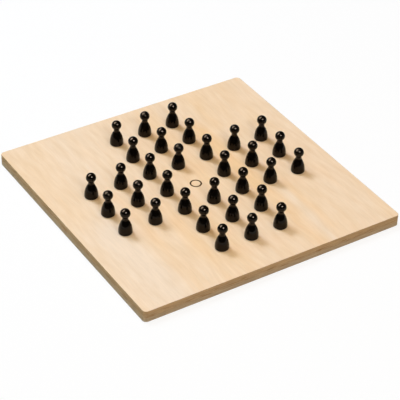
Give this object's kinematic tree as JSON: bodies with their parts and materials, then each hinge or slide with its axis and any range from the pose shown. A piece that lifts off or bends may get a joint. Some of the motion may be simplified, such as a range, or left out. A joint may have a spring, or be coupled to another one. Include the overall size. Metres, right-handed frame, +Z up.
{
  "type": "peg solitaire game",
  "caption": "Square wooden solitaire board with ring marks in a cross and a turned pawn standing on every mark but the middle one.",
  "frame": {"origin": "middle of the board's underside, on the surface that the board lies on", "axes": "+Z up; +X and +Y along the board's edges, the wood's grain runs along Y"},
  "size_m": [0.26, 0.26, 0.0359],
  "materials": {
    "board_wood": "pale wood, clear satin lacquer, with thin dark ring marks",
    "pawn_lacquer": "turned wood under glossy black lacquer"
  },
  "bodies": {
    "board": {"board": "board_wood"},
    "pawn_c1": {"pawn_c1": "pawn_lacquer"},
    "pawn_d1": {"pawn_d1": "pawn_lacquer"},
    "pawn_e1": {"pawn_e1": "pawn_lacquer"},
    "pawn_c2": {"pawn_c2": "pawn_lacquer"},
    "pawn_d2": {"pawn_d2": "pawn_lacquer"},
    "pawn_e2": {"pawn_e2": "pawn_lacquer"},
    "pawn_a3": {"pawn_a3": "pawn_lacquer"},
    "pawn_b3": {"pawn_b3": "pawn_lacquer"},
    "pawn_c3": {"pawn_c3": "pawn_lacquer"},
    "pawn_d3": {"pawn_d3": "pawn_lacquer"},
    "pawn_e3": {"pawn_e3": "pawn_lacquer"},
    "pawn_f3": {"pawn_f3": "pawn_lacquer"},
    "pawn_g3": {"pawn_g3": "pawn_lacquer"},
    "pawn_a4": {"pawn_a4": "pawn_lacquer"},
    "pawn_b4": {"pawn_b4": "pawn_lacquer"},
    "pawn_c4": {"pawn_c4": "pawn_lacquer"},
    "pawn_e4": {"pawn_e4": "pawn_lacquer"},
    "pawn_f4": {"pawn_f4": "pawn_lacquer"},
    "pawn_g4": {"pawn_g4": "pawn_lacquer"},
    "pawn_a5": {"pawn_a5": "pawn_lacquer"},
    "pawn_b5": {"pawn_b5": "pawn_lacquer"},
    "pawn_c5": {"pawn_c5": "pawn_lacquer"},
    "pawn_d5": {"pawn_d5": "pawn_lacquer"},
    "pawn_e5": {"pawn_e5": "pawn_lacquer"},
    "pawn_f5": {"pawn_f5": "pawn_lacquer"},
    "pawn_g5": {"pawn_g5": "pawn_lacquer"},
    "pawn_c6": {"pawn_c6": "pawn_lacquer"},
    "pawn_d6": {"pawn_d6": "pawn_lacquer"},
    "pawn_e6": {"pawn_e6": "pawn_lacquer"},
    "pawn_c7": {"pawn_c7": "pawn_lacquer"},
    "pawn_d7": {"pawn_d7": "pawn_lacquer"},
    "pawn_e7": {"pawn_e7": "pawn_lacquer"}
  },
  "joints": [
    {"name": "lift_c1", "type": "slide", "parent": "board", "child": "pawn_c1", "axis": [0, 0, 1], "range_m": [0, 0.03]},
    {"name": "lift_d1", "type": "slide", "parent": "board", "child": "pawn_d1", "axis": [0, 0, 1], "range_m": [0, 0.03]},
    {"name": "lift_e1", "type": "slide", "parent": "board", "child": "pawn_e1", "axis": [0, 0, 1], "range_m": [0, 0.03]},
    {"name": "lift_c2", "type": "slide", "parent": "board", "child": "pawn_c2", "axis": [0, 0, 1], "range_m": [0, 0.03]},
    {"name": "lift_d2", "type": "slide", "parent": "board", "child": "pawn_d2", "axis": [0, 0, 1], "range_m": [0, 0.03]},
    {"name": "lift_e2", "type": "slide", "parent": "board", "child": "pawn_e2", "axis": [0, 0, 1], "range_m": [0, 0.03]},
    {"name": "lift_a3", "type": "slide", "parent": "board", "child": "pawn_a3", "axis": [0, 0, 1], "range_m": [0, 0.03]},
    {"name": "lift_b3", "type": "slide", "parent": "board", "child": "pawn_b3", "axis": [0, 0, 1], "range_m": [0, 0.03]},
    {"name": "lift_c3", "type": "slide", "parent": "board", "child": "pawn_c3", "axis": [0, 0, 1], "range_m": [0, 0.03]},
    {"name": "lift_d3", "type": "slide", "parent": "board", "child": "pawn_d3", "axis": [0, 0, 1], "range_m": [0, 0.03]},
    {"name": "lift_e3", "type": "slide", "parent": "board", "child": "pawn_e3", "axis": [0, 0, 1], "range_m": [0, 0.03]},
    {"name": "lift_f3", "type": "slide", "parent": "board", "child": "pawn_f3", "axis": [0, 0, 1], "range_m": [0, 0.03]},
    {"name": "lift_g3", "type": "slide", "parent": "board", "child": "pawn_g3", "axis": [0, 0, 1], "range_m": [0, 0.03]},
    {"name": "lift_a4", "type": "slide", "parent": "board", "child": "pawn_a4", "axis": [0, 0, 1], "range_m": [0, 0.03]},
    {"name": "lift_b4", "type": "slide", "parent": "board", "child": "pawn_b4", "axis": [0, 0, 1], "range_m": [0, 0.03]},
    {"name": "lift_c4", "type": "slide", "parent": "board", "child": "pawn_c4", "axis": [0, 0, 1], "range_m": [0, 0.03]},
    {"name": "lift_e4", "type": "slide", "parent": "board", "child": "pawn_e4", "axis": [0, 0, 1], "range_m": [0, 0.03]},
    {"name": "lift_f4", "type": "slide", "parent": "board", "child": "pawn_f4", "axis": [0, 0, 1], "range_m": [0, 0.03]},
    {"name": "lift_g4", "type": "slide", "parent": "board", "child": "pawn_g4", "axis": [0, 0, 1], "range_m": [0, 0.03]},
    {"name": "lift_a5", "type": "slide", "parent": "board", "child": "pawn_a5", "axis": [0, 0, 1], "range_m": [0, 0.03]},
    {"name": "lift_b5", "type": "slide", "parent": "board", "child": "pawn_b5", "axis": [0, 0, 1], "range_m": [0, 0.03]},
    {"name": "lift_c5", "type": "slide", "parent": "board", "child": "pawn_c5", "axis": [0, 0, 1], "range_m": [0, 0.03]},
    {"name": "lift_d5", "type": "slide", "parent": "board", "child": "pawn_d5", "axis": [0, 0, 1], "range_m": [0, 0.03]},
    {"name": "lift_e5", "type": "slide", "parent": "board", "child": "pawn_e5", "axis": [0, 0, 1], "range_m": [0, 0.03]},
    {"name": "lift_f5", "type": "slide", "parent": "board", "child": "pawn_f5", "axis": [0, 0, 1], "range_m": [0, 0.03]},
    {"name": "lift_g5", "type": "slide", "parent": "board", "child": "pawn_g5", "axis": [0, 0, 1], "range_m": [0, 0.03]},
    {"name": "lift_c6", "type": "slide", "parent": "board", "child": "pawn_c6", "axis": [0, 0, 1], "range_m": [0, 0.03]},
    {"name": "lift_d6", "type": "slide", "parent": "board", "child": "pawn_d6", "axis": [0, 0, 1], "range_m": [0, 0.03]},
    {"name": "lift_e6", "type": "slide", "parent": "board", "child": "pawn_e6", "axis": [0, 0, 1], "range_m": [0, 0.03]},
    {"name": "lift_c7", "type": "slide", "parent": "board", "child": "pawn_c7", "axis": [0, 0, 1], "range_m": [0, 0.03]},
    {"name": "lift_d7", "type": "slide", "parent": "board", "child": "pawn_d7", "axis": [0, 0, 1], "range_m": [0, 0.03]},
    {"name": "lift_e7", "type": "slide", "parent": "board", "child": "pawn_e7", "axis": [0, 0, 1], "range_m": [0, 0.03]}
  ]
}
